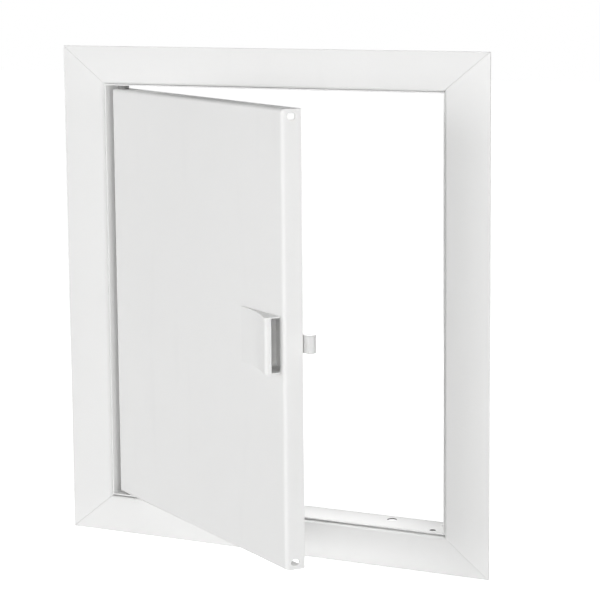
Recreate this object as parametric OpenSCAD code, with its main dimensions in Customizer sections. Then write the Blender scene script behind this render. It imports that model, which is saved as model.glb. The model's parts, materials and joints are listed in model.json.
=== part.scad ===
// Ceiling access panel: a mitred cover flange on a mounting box, a hinged tray door and a sprung slide latch.
// Frame: X to the right, Y into the opening, Z up. The plane y = 0 is the back of the cover flange, which
// lies on the ceiling or wall. The front of the panel faces -Y. Sizes are in millimetres.

/* [Cover flange] */
// Overall width of the cover flange
outer_w = 250; // [220:1:400]
// Overall height of the cover flange
outer_h = 264; // [220:1:500]
// Face width of the two side members
flange_side = 25; // [18:0.5:36]
// Face width of the top and bottom members
flange_end = 19.5; // [14:0.5:36]
// Sheet thickness of the flange members
flange_t = 1; // [0.8:0.1:1.4]
// Depth of the leg behind the front face
leg_depth = 10; // [7:0.5:10.5]
// Outer radius of the bend into the leg
flange_bend = 2; // [1.6:0.1:3]
// Open seam left at each mitre
mitre_gap = 0.25; // [0.1:0.05:0.5]
// Diameter of the weld bosses that join the end members to the box
weld_d = 5; // [3:0.5:6]
// Distance from the middle weld boss to the outer ones
weld_pitch = 60; // [40:1:80]
// Distance from a weld boss to the back edge of the leg
weld_edge = 0.5; // [0.3:0.1:1]

/* [Mounting box] */
// Sheet thickness of the box
box_t = 0.7; // [0.6:0.1:1.2]
// Depth of the box behind the front face
box_depth = 24; // [20:0.5:40]
// Setback of the box edge behind the front face
box_setback = 1.2; // [1:0.1:1.6]
// Slit between an end member's leg and the box
end_slit = 0.6; // [0.4:0.1:1.2]
// Diameter of the fixing holes in head and sill
fixing_d = 5; // [4:0.5:6.5]
// Spacing of the fixing holes
fixing_pitch = 125; // [100:1:150]
// Depth of the fixing holes behind the front face
fixing_depth = 17; // [14:0.5:18]
// Length of the corner tabs folded over head and sill
tab_len = 12; // [9:0.5:16]
// Width of the corner tabs
tab_w = 9; // [7:0.5:10]
// Distance from a corner tab to the back edge of the box
tab_edge = 2; // [1:0.5:3]
// Shank diameter of the corner rivets
rivet_d = 3.2; // [2.4:0.1:4]
// Height of the rivets' domed heads
rivet_head_t = 1; // [0.6:0.1:1.4]
// Height of the rivets' set tails
rivet_tail_t = 1.3; // [0.8:0.1:2]
// Length of the two door stops lanced from the latch jamb
stop_len = 4; // [3.4:0.2:6]
// Height of each door stop
stop_h = 10; // [6:0.5:16]
// Distance from the middle to each door stop
stop_z = 60; // [40:1:75]
// Gap around the tongue in its strike slot
strike_clear = 1.2; // [0.8:0.1:2]

/* [Door] */
// Angle by which the door stands open
door_angle = 32.8; // [0:0.1:100]
// Sheet thickness of the door
door_t = 1; // [0.8:0.1:1.2]
// Depth of the door's folded edges
door_depth = 10.4; // [9.8:0.1:12]
// Outer radius of the door's bends
door_bend = 2; // [1.6:0.1:2.4]
// Setback of the shut door behind the front face of the flange
door_recess = 1.3; // [0:0.1:2]
// Gap between the door and the wall on its hinge side
hinge_gap = 4.1; // [3.4:0.1:5]
// Gap between the door and the wall on its latch side
latch_gap = 2.4; // [1.6:0.1:2.8]
// Gap between the door and the sill
sill_gap = 0.7; // [0.5:0.1:2]
// Gap between the door and the head
head_gap = 2; // [0.5:0.1:2.6]
// Gap between the closed door and its stops
stop_gap = 0.3; // [0.2:0.1:0.8]
// Length of the drain slots in the free edge
drain_len = 4.3; // [3:0.1:5]
// Width of the drain slots
drain_w = 2.9; // [2:0.1:4]
// Distance from the door's end to the middle of a drain slot
drain_end = 3.6; // [3.4:0.1:10]

/* [Hinge] */
// Distance from the door's hinge edge to the pivot
pivot_inset = 4.1; // [3.6:0.1:5]
// Distance from the door's face to the pivot
pivot_depth = 4.7; // [3.4:0.1:5]
// Diameter of the hinge pins
pin_d = 3.2; // [2.6:0.1:3.3]
// Wall of the hinge bushes
bush_wall = 0.5; // [0.4:0.05:0.6]
// Radial clearance of a pin in its bush
run_clear = 0.05; // [0.02:0.01:0.1]
// Radial clearance of parts that are fixed in a hole
fit_clear = 0.02; // [0:0.01:0.05]
// End float between a bush and the box
float_clear = 0.1; // [0.05:0.05:0.2]
// Width of the bush's rim beyond its barrel
bush_rim = 0.9; // [0.6:0.1:1]
// Length of the bush's barrel inside the door
bush_engage = 1.5; // [1:0.1:3]
// Length of the hinge pin inside the door
pin_engage = 3; // [2:0.1:5]
// Width of the pin's head beyond its shank
pin_head = 0.5; // [0.4:0.1:0.6]
// Gap between the pin's head and the leg of the flange
pin_head_clear = 0.1; // [0.05:0.05:0.2]

/* [Latch] */
// Height of the latch above the middle of the door
latch_z = -1.9; // [-20:0.1:20]
// Length of the finger grip
grip_len = 39.5; // [34:0.5:48]
// Height of the finger grip
grip_h = 27.4; // [22:0.1:34]
// How far the grip stands out from the door
grip_proud = 8; // [7.6:0.1:12]
// Opening of the grip's mouth
mouth_gap = 4.8; // [4.4:0.1:5.6]
// Wall of the finger grip
grip_wall = 0.8; // [0.6:0.1:1.4]
// Height of the hollow under the hood at its back
hood_low = 1.2; // [0.8:0.1:1.4]
// Distance from the grip's mouth to the door's free edge
grip_edge = 2.9; // [2.2:0.1:4]
// Radius of the rolled lip over the mouth
lip_r = 1.2; // [1:0.1:2]
// Thickness of the grip's thin edge
grip_thin = 0.6; // [0.4:0.1:1]
// Depth of the finger pocket behind the door's face sheet
pocket_depth = 5.5; // [4:0.5:7]
// Corner radius of the finger pocket
pocket_r = 2; // [1:0.1:3]
// Wall of the finger pocket
pocket_wall = 1; // [0.8:0.1:1.2]
// Gap between the finger pocket and the fold of the free edge
pocket_edge = 0.9; // [0.1:0.1:1.4]
// Length of the stem that passes through the door
stem_len = 12; // [10:0.5:14]
// Height of the stem
stem_w = 8; // [6:0.5:9]
// Play at each end of the stem's slot
stem_play = 0.6; // [0.4:0.1:1]
// Thickness of the slider
slider_t = 4; // [3:0.1:4.4]
// Width of the slider's ledge on each side of the tongue
slider_ledge = 2.2; // [1.6:0.1:3]
// Length of the slider on each side of the stem
slider_tail = 2; // [1.5:0.1:3]
// Gap under the grip and around the sliding parts
slide_clear = 0.2; // [0.15:0.05:0.3]
// Reach of the tongue past the door's free edge
tongue_reach = 4.2; // [3.6:0.1:4.8]
// Height of the tongue
tongue_w = 8.8; // [8:0.1:10]
// Thickness of the tongue
tongue_t = 2; // [1.4:0.1:2.4]
// Gap from the free edge's fold back to the tongue
tongue_gap = 0.5; // [0.4:0.1:1.2]
// Length of the tongue's thick nose
nose_len = 8; // [7:0.5:10]
// Depth of the tongue's thick nose
nose_depth = 5.2; // [4.6:0.1:6.2]
// Depth of the ramp at the back of the nose
ramp_depth = 2.4; // [1.6:0.1:3]
// Length of the ramp at the back of the nose
ramp_len = 1.6; // [1:0.1:2.4]
// Travel of the latch
latch_throw = 4; // [3.4:0.1:5]
// Wall of the latch housing
housing_wall = 2.4; // [1.6:0.1:3]
// Thickness of the lips that hold the slider in
housing_lip = 1; // [0.8:0.1:1.6]
// Thickness of the housing's feet
foot_t = 1.5; // [1:0.1:2]
// Length of the housing's feet
foot_len = 12; // [9:0.5:16]
// Outer diameter of the return spring
spring_d = 4.4; // [3.6:0.1:4.4]
// Wire diameter of the return spring
spring_wire = 0.6; // [0.4:0.05:0.7]
// Length of the return spring with the latch at rest
spring_len = 16; // [14:0.5:22]
// Length of the pegs inside the spring's ends
peg_len = 3; // [2:0.1:4]
// Diameter of the studs that hold the housing
stud_d = 3; // [2.5:0.1:3.6]
// Diameter of the screws that join grip, slider and tongue
screw_d = 2.2; // [1.8:0.1:2.6]
// Distance between the two screws
screw_pitch = 6; // [5:0.5:7]
// Height of the screws' heads
screw_head_t = 1.4; // [1:0.1:2]
// Length of the screws inside the stem
screw_grip = 4; // [3:0.1:5]

/* [Hidden] */
$fn = 64;

// The opening and the faces of the box
open_w = outer_w - 2 * flange_side;
open_h = outer_h - 2 * flange_end;
face_y = -flange_t;
leg_back_y = face_y + leg_depth;
box_front_y = face_y + box_setback;
box_back_y = face_y + box_depth;
wall_x = open_w / 2 - box_t;
sill_low_z = -open_h / 2 + end_slit;
sill_top_z = sill_low_z + box_t;
tab_y = box_back_y - tab_edge - tab_w / 2;
rivet_x = open_w / 2 - tab_len / 2;

// The door and its pivot, as they stand with the door shut
door_left_x = -wall_x + hinge_gap;
door_right_x = wall_x - latch_gap;
door_w = door_right_x - door_left_x;
door_h = -2 * sill_top_z - sill_gap - head_gap;
door_y = face_y + door_recess;
door_back_y = door_y + door_depth;
pivot_x = door_left_x + pivot_inset;
pivot_y = door_y + pivot_depth;
bush_d = pin_d + 2 * bush_wall;
bush_rim_d = bush_d + 2 * bush_rim;
pin_head_d = pin_d + 2 * pin_head;
pin_head_t = end_slit - pin_head_clear;
stop_y = door_back_y + stop_gap;

// The latch, as it stands with the door shut
mouth_x = door_right_x - grip_edge;
grip_x = mouth_x - grip_len;
tongue_front_y = door_back_y + tongue_gap;
tongue_back_y = tongue_front_y + tongue_t;
nose_back_y = tongue_front_y + nose_depth;
slider_w = tongue_w + 2 * slider_ledge;
slider_front_y = tongue_front_y - slider_t;
stem_at = latch_throw + 2 * stem_play + grip_wall;
stem_x = grip_x + stem_at;
slider_x = stem_x - slider_tail;
slider_end_x = stem_x + stem_len + slider_tail;
spring_y = tongue_front_y - slider_t / 2;
spring_x = slider_x - spring_len;
peg_d = spring_d - 2 * spring_wire - 2 * slide_clear;
housing_x = spring_x - housing_wall;
housing_end_x = slider_end_x + slide_clear + housing_wall;
housing_back_y = tongue_front_y + slide_clear + housing_lip;
housing_w = slider_w + 2 * slide_clear + 2 * housing_wall;
pocket_x = housing_end_x;
pocket_end_x = door_right_x - door_bend - pocket_edge - pocket_wall;
pocket_h = grip_h - 2 * grip_wall;
foot_w = 3 * stud_d;
foot_x = stem_x + stem_len / 2;
foot_z = housing_w / 2 + foot_w / 2;
nut_t = stud_d * 0.8;
screw_head_d = screw_d * 2;

// Turns parts of the shut door to the angle at which it stands
module on_door() {
    translate([pivot_x, pivot_y, 0])
        rotate([0, 0, -door_angle])
            translate([-pivot_x, -pivot_y, 0])
                children();
}

// A block given by its two opposite corners
module block(low, high) {
    translate(low)
        cube(high - low);
}

// A round bar along Z from one height to the other
module bar_z(x, y, d, low, high) {
    translate([x, y, low])
        cylinder(d = d, h = high - low);
}

// A round bar along Y from one depth to the other
module bar_y(x, z, d, low, high) {
    translate([x, low, z])
        rotate([-90, 0, 0])
            cylinder(d = d, h = high - low);
}

// A round bar along X from one side to the other
module bar_x(y, z, d, low, high) {
    translate([low, y, z])
        rotate([0, 90, 0])
            cylinder(d = d, h = high - low);
}

// A rectangle whose corner at the origin is rounded
module one_round_corner(w, d, r) {
    translate([r, 0])
        square([w - r, d]);
    translate([0, r])
        square([w, d - r]);
    translate([r, r])
        circle(r);
}

// The angle section of a flange member: across the face, then depth
module angle_section(w) {
    difference() {
        one_round_corner(w, leg_depth, flange_bend);
        translate([flange_t, flange_t])
            one_round_corner(w, leg_depth, flange_bend - flange_t);
    }
}

// A flat outline in X and Z, drawn out along Y
module mitre_prism(points) {
    rotate([90, 0, 0])
        linear_extrude(height = 4 * leg_depth, center = true)
            polygon(points);
}

// A side member of the cover flange, on the right
module side_member() {
    cut = mitre_gap / 2;
    intersection() {
        translate([open_w / 2, face_y, 0])
            linear_extrude(height = outer_h, center = true)
                angle_section(flange_side);
        mitre_prism([
            [open_w / 2, -open_h / 2 + cut],
            [outer_w / 2, -outer_h / 2 + cut],
            [outer_w / 2, outer_h / 2 - cut],
            [open_w / 2, open_h / 2 - cut]
        ]);
    }
}

// An end member of the cover flange, at the top, with its weld bosses
module end_member() {
    cut = mitre_gap / 2;
    intersection() {
        translate([0, face_y, open_h / 2])
            rotate([0, -90, 0])
                linear_extrude(height = outer_w, center = true)
                    angle_section(flange_end);
        mitre_prism([
            [-open_w / 2 + cut, open_h / 2],
            [-outer_w / 2 + cut, outer_h / 2],
            [outer_w / 2 - cut, outer_h / 2],
            [open_w / 2 - cut, open_h / 2]
        ]);
    }
    for (i = [-1, 0, 1])
        bar_z(
            i * weld_pitch, leg_back_y - weld_edge - weld_d / 2, weld_d,
            open_h / 2 - end_slit, open_h / 2 + flange_t / 2
        );
}

// The bottom plate of the box, with its pivot and fixing holes
module end_plate() {
    difference() {
        block([-wall_x, box_front_y, sill_low_z], [wall_x, box_back_y, sill_top_z]);
        for (side = [-1, 1]) {
            bar_z(side * pivot_x, pivot_y, pin_d + 2 * fit_clear, sill_low_z - 1, sill_top_z + 1);
            bar_z(side * fixing_pitch / 2, face_y + fixing_depth, fixing_d, sill_low_z - 1, sill_top_z + 1);
            bar_z(side * rivet_x, tab_y, rivet_d + 2 * fit_clear, sill_low_z - 1, sill_top_z + 1);
        }
    }
}

// A side wall of the box, on the right, with a tab folded over each end
module side_wall() {
    difference() {
        union() {
            block([wall_x, box_front_y, sill_low_z], [open_w / 2, box_back_y, -sill_low_z]);
            for (end = [0, 1])
                mirror([0, 0, end])
                    block(
                        [open_w / 2 - tab_len, tab_y - tab_w / 2, sill_low_z - box_t],
                        [open_w / 2, tab_y + tab_w / 2, sill_low_z]
                    );
        }
        bar_z(rivet_x, tab_y, rivet_d + 2 * fit_clear, -open_h, open_h);
    }
}

// A blind rivet through the sill and a corner tab, on the right
module corner_rivet() {
    dome_r = (rivet_d * rivet_d + rivet_head_t * rivet_head_t) / (2 * rivet_head_t);
    tab_low_z = sill_low_z - box_t;
    bar_z(rivet_x, tab_y, rivet_d, tab_low_z - rivet_tail_t / 2, sill_top_z + rivet_head_t / 2);
    bar_z(rivet_x, tab_y, rivet_d * 1.4, tab_low_z - rivet_tail_t, tab_low_z);
    translate([rivet_x, tab_y, sill_top_z])
        intersection() {
            cylinder(d = rivet_d * 2, h = rivet_head_t);
            translate([0, 0, rivet_head_t - dome_r])
                sphere(dome_r);
        }
}

// A hinge pin headed under the sill, for a door that stands a gap above it
module hinge_pin(gap) {
    bar_z(pivot_x, pivot_y, pin_head_d, sill_low_z - pin_head_t, sill_low_z);
    bar_z(pivot_x, pivot_y, pin_d, sill_low_z - pin_head_t, sill_top_z + gap + door_t + pin_engage);
}

// A hinge bush, whose rim fills the gap between the sill and the door
module hinge_bush(gap) {
    low = sill_top_z + float_clear;
    difference() {
        union() {
            bar_z(pivot_x, pivot_y, bush_rim_d, low, sill_top_z + gap);
            bar_z(pivot_x, pivot_y, bush_d, low, sill_top_z + gap + door_t + bush_engage);
        }
        bar_z(pivot_x, pivot_y, pin_d + 2 * run_clear, low - 1, sill_top_z + gap + door_t + bush_engage + 1);
    }
}

// A rectangle centred on X whose two front corners are rounded
module bent_section(w, d, r) {
    translate([-w / 2 + r, 0])
        square([w - 2 * r, d]);
    translate([-w / 2, r])
        square([w, d - r]);
    for (side = [-1, 1])
        translate([side * (w / 2 - r), r])
            circle(r);
}

// A block whose four front edges are rounded
module bent_block(w, h, d, r) {
    intersection() {
        linear_extrude(height = h, center = true)
            bent_section(w, d, r);
        rotate([0, -90, 0])
            linear_extrude(height = w, center = true)
                bent_section(h, d, r);
    }
}

// A drain slot through the free edge, near the door's lower end
module drain_slot(end_z) {
    z = end_z + drain_end;
    y = door_y + door_depth / 2;
    half = (drain_len - drain_w) / 2;
    low = door_right_x - 2 * door_t;
    high = door_right_x + door_t;
    for (side = [-1, 1])
        bar_x(y + side * half, z, drain_w, low, high);
    block([low, y - half, z - drain_w / 2], [high, y + half, z + drain_w / 2]);
}

// A rectangle with four rounded corners, centred
module round_rect(w, h, r) {
    square([w - 2 * r, h], center = true);
    square([w, h - 2 * r], center = true);
    for (x = [-1, 1])
        for (y = [-1, 1])
            translate([x * (w / 2 - r), y * (h / 2 - r)])
                circle(r);
}

// The side outline of the finger grip: along the door, then out from its face
module grip_outline() {
    rise = grip_proud - slide_clear - grip_thin;
    run = grip_len - 2 * lip_r;
    ramp_r = (run * run + rise * rise) / (2 * rise);
    difference() {
        translate([grip_len, grip_proud])
            rotate(180)
                one_round_corner(grip_len, grip_proud - slide_clear, lip_r);
        translate([0, slide_clear + grip_thin + ramp_r])
            circle(ramp_r, $fn = 128);
    }
}

// The hollow behind the grip's mouth, open towards the door
module grip_hollow() {
    back_u = stem_at + stem_len + grip_wall;
    linear_extrude(height = pocket_h, center = true)
        polygon([
            [back_u, 0],
            [grip_len + 1, 0],
            [grip_len + 1, mouth_gap],
            [grip_len - 2 * lip_r, mouth_gap],
            [back_u, hood_low]
        ]);
}

// The outline of the finger pocket, drawn out along Y and grown by a wall
module pocket_block(grow, low, high) {
    translate([(pocket_x + pocket_end_x) / 2, low, 0])
        rotate([-90, 0, 0])
            linear_extrude(height = high - low)
                round_rect(pocket_end_x - pocket_x + 2 * grow, pocket_h + 2 * grow, pocket_r + grow);
}

module flange_top() {
    color("#eeeeec") end_member();
}

module flange_bottom() {
    color("#eeeeec") mirror([0, 0, 1]) end_member();
}

module flange_left() {
    color("#eeeeec") mirror([1, 0, 0]) side_member();
}

module flange_right() {
    color("#eeeeec") side_member();
}

module head() {
    color("#e8e8e6") mirror([0, 0, 1]) end_plate();
}

module sill() {
    color("#e8e8e6") end_plate();
}

module hinge_jamb() {
    color("#e4e4e2") mirror([1, 0, 0]) side_wall();
}

// The right wall, with a strike slot for the tongue and two lanced door stops
module latch_jamb() {
    color("#e4e4e2") {
        difference() {
            side_wall();
            block(
                [wall_x - 1, tongue_front_y - strike_clear / 2, latch_z - tongue_w / 2 - strike_clear],
                [open_w / 2 + 1, nose_back_y + strike_clear, latch_z + tongue_w / 2 + strike_clear]
            );
            for (side = [-1, 1])
                block(
                    [wall_x - 1, stop_y + box_t, side * stop_z - stop_h / 2],
                    [open_w / 2 + 1, stop_y + box_t + stop_len, side * stop_z + stop_h / 2]
                );
        }
        for (side = [-1, 1])
            block(
                [wall_x - stop_len, stop_y, side * stop_z - stop_h / 2],
                [open_w / 2, stop_y + box_t, side * stop_z + stop_h / 2]
            );
    }
}

module corner_rivets() {
    color("#e4e4e2")
        for (side = [0, 1])
            for (end = [0, 1])
                mirror([side, 0, 0])
                    mirror([0, 0, end])
                        corner_rivet();
}

module hinge_pin_top() {
    color("#b8b8b8") mirror([0, 0, 1]) hinge_pin(head_gap);
}

module hinge_pin_bottom() {
    color("#b8b8b8") hinge_pin(sill_gap);
}

module hinge_bush_top() {
    color("#8a8a86") on_door() mirror([0, 0, 1]) hinge_bush(head_gap);
}

module hinge_bush_bottom() {
    color("#8a8a86") on_door() hinge_bush(sill_gap);
}

// The folded tray of the door, with two welded studs behind its face
module door_panel() {
    color("#ececea") on_door() {
        difference() {
            translate([(door_left_x + door_right_x) / 2, door_y, (sill_gap - head_gap) / 2])
                difference() {
                    bent_block(door_w, door_h, door_depth, door_bend);
                    translate([0, door_t, 0])
                        bent_block(door_w - 2 * door_t, door_h - 2 * door_t, door_depth, door_bend - door_t);
                }
            for (end = [0, 1])
                mirror([0, 0, end]) {
                    end_z = sill_top_z + [sill_gap, head_gap][end];
                    drain_slot(end_z);
                    bar_z(pivot_x, pivot_y, bush_d + 2 * fit_clear, end_z - door_t, end_z + 2 * door_t);
                }
            block(
                [stem_x - latch_throw - stem_play, door_y - 1, latch_z - stem_w / 2 - slide_clear],
                [stem_x + stem_len + stem_play, door_y + door_t + 1, latch_z + stem_w / 2 + slide_clear]
            );
            translate([0, 0, latch_z])
                pocket_block(0, door_y - 1, door_y + door_t + 1);
        }
        for (side = [-1, 1])
            bar_y(
                foot_x, latch_z + side * foot_z, stud_d,
                door_y + door_t / 2, door_y + door_t + foot_t + nut_t + stud_d / 3
            );
    }
}

// The guide behind the door for the slider, with a foot on each side and the finger pocket at its end
module latch_housing() {
    inner_w = slider_w + 2 * slide_clear;
    back_w = tongue_w + 2 * slide_clear;
    stem_gap_w = stem_w + 2 * slide_clear;
    front_y = door_y + door_t;
    color("#e0e0de") on_door() translate([0, 0, latch_z]) {
        difference() {
            union() {
                block([housing_x, front_y, -housing_w / 2], [housing_end_x, housing_back_y, housing_w / 2]);
                block(
                    [foot_x - foot_len / 2, front_y, -foot_z - foot_w / 2],
                    [foot_x + foot_len / 2, front_y + foot_t, foot_z + foot_w / 2]
                );
                pocket_block(pocket_wall, front_y, front_y + pocket_depth + pocket_wall);
            }
            pocket_block(0, front_y - 1, front_y + pocket_depth);
            block(
                [spring_x, slider_front_y - slide_clear, -inner_w / 2],
                [slider_end_x + slide_clear, tongue_front_y + slide_clear, inner_w / 2]
            );
            block(
                [spring_x, front_y - 1, -stem_gap_w / 2],
                [slider_end_x + slide_clear, slider_front_y, stem_gap_w / 2]
            );
            block(
                [spring_x, slider_front_y, -back_w / 2],
                [slider_end_x + slide_clear, housing_back_y + 1, back_w / 2]
            );
            block(
                [slider_end_x - 1, tongue_front_y - slide_clear, -back_w / 2],
                [housing_end_x + 1, housing_back_y + 1, back_w / 2]
            );
            for (side = [-1, 1])
                bar_y(foot_x, side * foot_z, stud_d + 2 * fit_clear, front_y - 1, front_y + foot_t + 1);
        }
        bar_x(spring_y, 0, peg_d, spring_x - 1, spring_x + peg_len);
    }
}

// A hexagon nut on one of the door's studs
module housing_nut(side) {
    low = door_y + door_t + foot_t;
    translate([foot_x, low, latch_z + side * foot_z])
        rotate([-90, 0, 0])
            difference() {
                cylinder(d = stud_d * 2.1, h = nut_t, $fn = 6);
                translate([0, 0, -1])
                    cylinder(d = stud_d + 2 * fit_clear, h = nut_t + 2);
            }
}

module housing_nuts() {
    color("#b8b8b8") on_door()
        for (side = [-1, 1])
            housing_nut(side);
}

// The raised finger pull: a ramp up to a rolled lip, a hood over the pocket, and a stem through the door
module finger_grip() {
    color("#ececea") on_door() translate([0, 0, latch_z]) {
        translate([grip_x, door_y, 0])
            mirror([0, 1, 0])
                difference() {
                    linear_extrude(height = grip_h, center = true)
                        grip_outline();
                    grip_hollow();
                }
        difference() {
            block(
                [stem_x, door_y - slide_clear - grip_thin / 2, -stem_w / 2],
                [stem_x + stem_len, slider_front_y, stem_w / 2]
            );
            for (side = [-1, 1])
                bar_y(
                    stem_x + (stem_len + side * screw_pitch) / 2, 0, screw_d + 2 * fit_clear,
                    slider_front_y - screw_grip - screw_d / 4, slider_front_y + 1
                );
        }
    }
}

// The block that runs in the housing, with a peg for the spring
module latch_slider() {
    color("#e0e0de") on_door() translate([0, 0, latch_z]) {
        difference() {
            block([slider_x, slider_front_y, -slider_w / 2], [slider_end_x, tongue_front_y, slider_w / 2]);
            for (side = [-1, 1])
                bar_y(
                    stem_x + (stem_len + side * screw_pitch) / 2, 0, screw_d + 2 * fit_clear,
                    slider_front_y - 1, tongue_front_y + 1
                );
        }
        bar_x(spring_y, 0, peg_d, slider_x - peg_len, slider_x + 1);
    }
}

// The steel tongue, a plate with a thick nose and a ramp at the nose's back
module latch_tongue() {
    nose_x = door_right_x + tongue_reach;
    color("#e2e2e0") on_door() translate([0, 0, latch_z])
        difference() {
            linear_extrude(height = tongue_w, center = true)
                polygon([
                    [slider_x, tongue_front_y],
                    [nose_x, tongue_front_y],
                    [nose_x, nose_back_y - ramp_depth],
                    [nose_x - ramp_len, nose_back_y],
                    [nose_x - nose_len, nose_back_y],
                    [nose_x - nose_len, tongue_back_y],
                    [slider_x, tongue_back_y]
                ]);
            for (side = [-1, 1])
                bar_y(
                    stem_x + (stem_len + side * screw_pitch) / 2, 0, screw_d + 2 * fit_clear,
                    tongue_front_y - 1, tongue_back_y + 1
                );
        }
}

// A screw through tongue and slider into the grip's stem
module latch_screw(side) {
    x = stem_x + (stem_len + side * screw_pitch) / 2;
    bar_y(x, latch_z, screw_d, slider_front_y - screw_grip, tongue_back_y + screw_head_t / 2);
    bar_y(x, latch_z, screw_head_d, tongue_back_y, tongue_back_y + screw_head_t);
}

module latch_screws() {
    color("#b8b8b8") on_door()
        for (side = [-1, 1])
            latch_screw(side);
}

// The return spring, drawn as wire rings on a thin sleeve
module latch_spring() {
    rings = 10;
    mean_r = (spring_d - spring_wire) / 2;
    pitch = (spring_len - spring_wire) / (rings - 1);
    color("#a8a8a8") on_door()
        translate([spring_x, spring_y, latch_z])
            rotate([0, 90, 0])
                rotate_extrude() {
                    for (i = [0:rings - 1])
                        translate([mean_r, spring_wire / 2 + i * pitch])
                            circle(spring_wire / 2, $fn = 24);
                    translate([mean_r - spring_wire / 6, spring_wire / 2])
                        square([spring_wire / 3, spring_len - spring_wire]);
                }
}

flange_top();
flange_bottom();
flange_left();
flange_right();
head();
sill();
hinge_jamb();
latch_jamb();
corner_rivets();
hinge_pin_top();
hinge_pin_bottom();
hinge_bush_top();
hinge_bush_bottom();
door_panel();
latch_housing();
housing_nuts();
finger_grip();
latch_slider();
latch_tongue();
latch_screws();
latch_spring();
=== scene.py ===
# %% [markdown]
# # Dressing a white access panel
# The object is a sheet-steel panel that covers a service opening: a mitred cover flange, a shallow box behind it,
# a tray door on two hinge pins and a sprung latch with a finger grip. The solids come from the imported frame, so
# every piece below is placed by them and stays in their size.

# %% Load the frame
import json
import math

import bmesh
import bpy
from mathutils import Matrix, Vector


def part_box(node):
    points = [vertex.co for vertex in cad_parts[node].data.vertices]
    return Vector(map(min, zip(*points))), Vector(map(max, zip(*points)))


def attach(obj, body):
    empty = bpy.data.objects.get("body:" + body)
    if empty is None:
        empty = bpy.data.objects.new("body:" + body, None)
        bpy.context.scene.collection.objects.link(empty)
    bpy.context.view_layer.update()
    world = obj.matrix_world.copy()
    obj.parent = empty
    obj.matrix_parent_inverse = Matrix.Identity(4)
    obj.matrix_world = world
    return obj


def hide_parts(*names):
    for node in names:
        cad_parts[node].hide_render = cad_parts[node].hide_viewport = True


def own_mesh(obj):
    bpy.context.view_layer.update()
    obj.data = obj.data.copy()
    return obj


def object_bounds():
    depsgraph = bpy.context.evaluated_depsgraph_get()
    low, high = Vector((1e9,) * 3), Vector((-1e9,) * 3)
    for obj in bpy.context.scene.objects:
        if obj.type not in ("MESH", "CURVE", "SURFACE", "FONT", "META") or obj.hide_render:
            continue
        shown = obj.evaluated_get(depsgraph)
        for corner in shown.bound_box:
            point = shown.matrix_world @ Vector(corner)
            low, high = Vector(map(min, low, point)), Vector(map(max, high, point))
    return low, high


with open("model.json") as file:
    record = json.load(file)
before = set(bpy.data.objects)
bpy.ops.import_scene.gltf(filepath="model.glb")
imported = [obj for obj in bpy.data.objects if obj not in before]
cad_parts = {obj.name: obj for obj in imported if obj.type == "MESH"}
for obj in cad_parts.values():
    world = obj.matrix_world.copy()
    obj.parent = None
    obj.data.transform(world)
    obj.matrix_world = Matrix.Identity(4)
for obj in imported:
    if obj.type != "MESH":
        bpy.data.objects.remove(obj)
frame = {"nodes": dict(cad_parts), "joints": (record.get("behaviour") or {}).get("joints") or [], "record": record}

MM = 0.001
scene = bpy.context.scene
solids = frame["nodes"]
solid_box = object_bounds()
print("solids:", len(solids), "box in mm:", [[round(v / MM, 1) for v in corner] for corner in solid_box])

# %% [markdown]
# ## Where the camera stands
# The panel is seen from its right and a little from above, with a long lens, so its edges stay almost parallel.
# The camera could be aimed with a constraint. Here its three axes are worked out instead, because that shows what
# a camera is to Blender: a point, and a set of axes with the view along minus Z.

# %% Camera
TURN, RISE, ROLL = (math.radians(a) for a in (28.84, 8.59, -0.5))
AIM = Vector((18.4, -1.0, 3.42)) * MM
DISTANCE = 1204.8 * MM
FOCAL_LENGTH, SENSOR = 140.43, 36.0
NEAREST, FURTHEST = 0.05, 60.0

back = Vector((math.sin(TURN) * math.cos(RISE), -math.cos(TURN) * math.cos(RISE), math.sin(RISE)))
level = Vector((math.cos(TURN), math.sin(TURN), 0))
upright = back.cross(level)
right = math.cos(ROLL) * level + math.sin(ROLL) * upright
above = back.cross(right)

lens = bpy.data.cameras.new("view")
lens.lens, lens.sensor_width, lens.sensor_fit = FOCAL_LENGTH, SENSOR, "HORIZONTAL"
lens.clip_start, lens.clip_end = NEAREST, FURTHEST
camera = bpy.data.objects.new("view", lens)
turn = Matrix((right, above, back)).transposed().to_4x4()
camera.matrix_world = Matrix.Translation(AIM + back * DISTANCE) @ turn
scene.collection.objects.link(camera)
scene.camera = camera
print("camera at, mm:", [round(v / MM, 1) for v in camera.matrix_world.translation])

# %% [markdown]
# ## A white studio
# White sheet metal on a white ground needs even light from the front and less from above, so that a face that
# looks up stays a shade darker than one that looks at us. The ground has to be white in the picture without
# pouring more light on the metal. The Light Path node does that: rays from the camera, mirror rays and
# see-through rays meet plain white, and all other rays meet a softly graded room.

# %% Helpers for node trees
def wire(tree, *pairs):
    """Links output sockets to input sockets."""
    for out_socket, in_socket in pairs:
        tree.links.new(out_socket, in_socket)


def add_node(tree, kind, **settings):
    """Adds a node and sets its properties."""
    node = tree.nodes.new(kind)
    for key, value in settings.items():
        setattr(node, key, value)
    return node


def set_inputs(node, values):
    """Types values into a node's named inputs."""
    for label, value in values.items():
        node.inputs[label].default_value = value


def seen_directly(tree):
    """A value of 1 for camera, mirror and see-through rays."""
    path = add_node(tree, "ShaderNodeLightPath")
    first = add_node(tree, "ShaderNodeMath", operation="MAXIMUM")
    both = add_node(tree, "ShaderNodeMath", operation="MAXIMUM")
    wire(
        tree,
        (path.outputs["Is Camera Ray"], first.inputs[0]),
        (path.outputs["Is Glossy Ray"], first.inputs[1]),
        (first.outputs[0], both.inputs[0]),
        (path.outputs["Is Transmission Ray"], both.inputs[1]),
    )
    return both.outputs[0]


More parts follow.
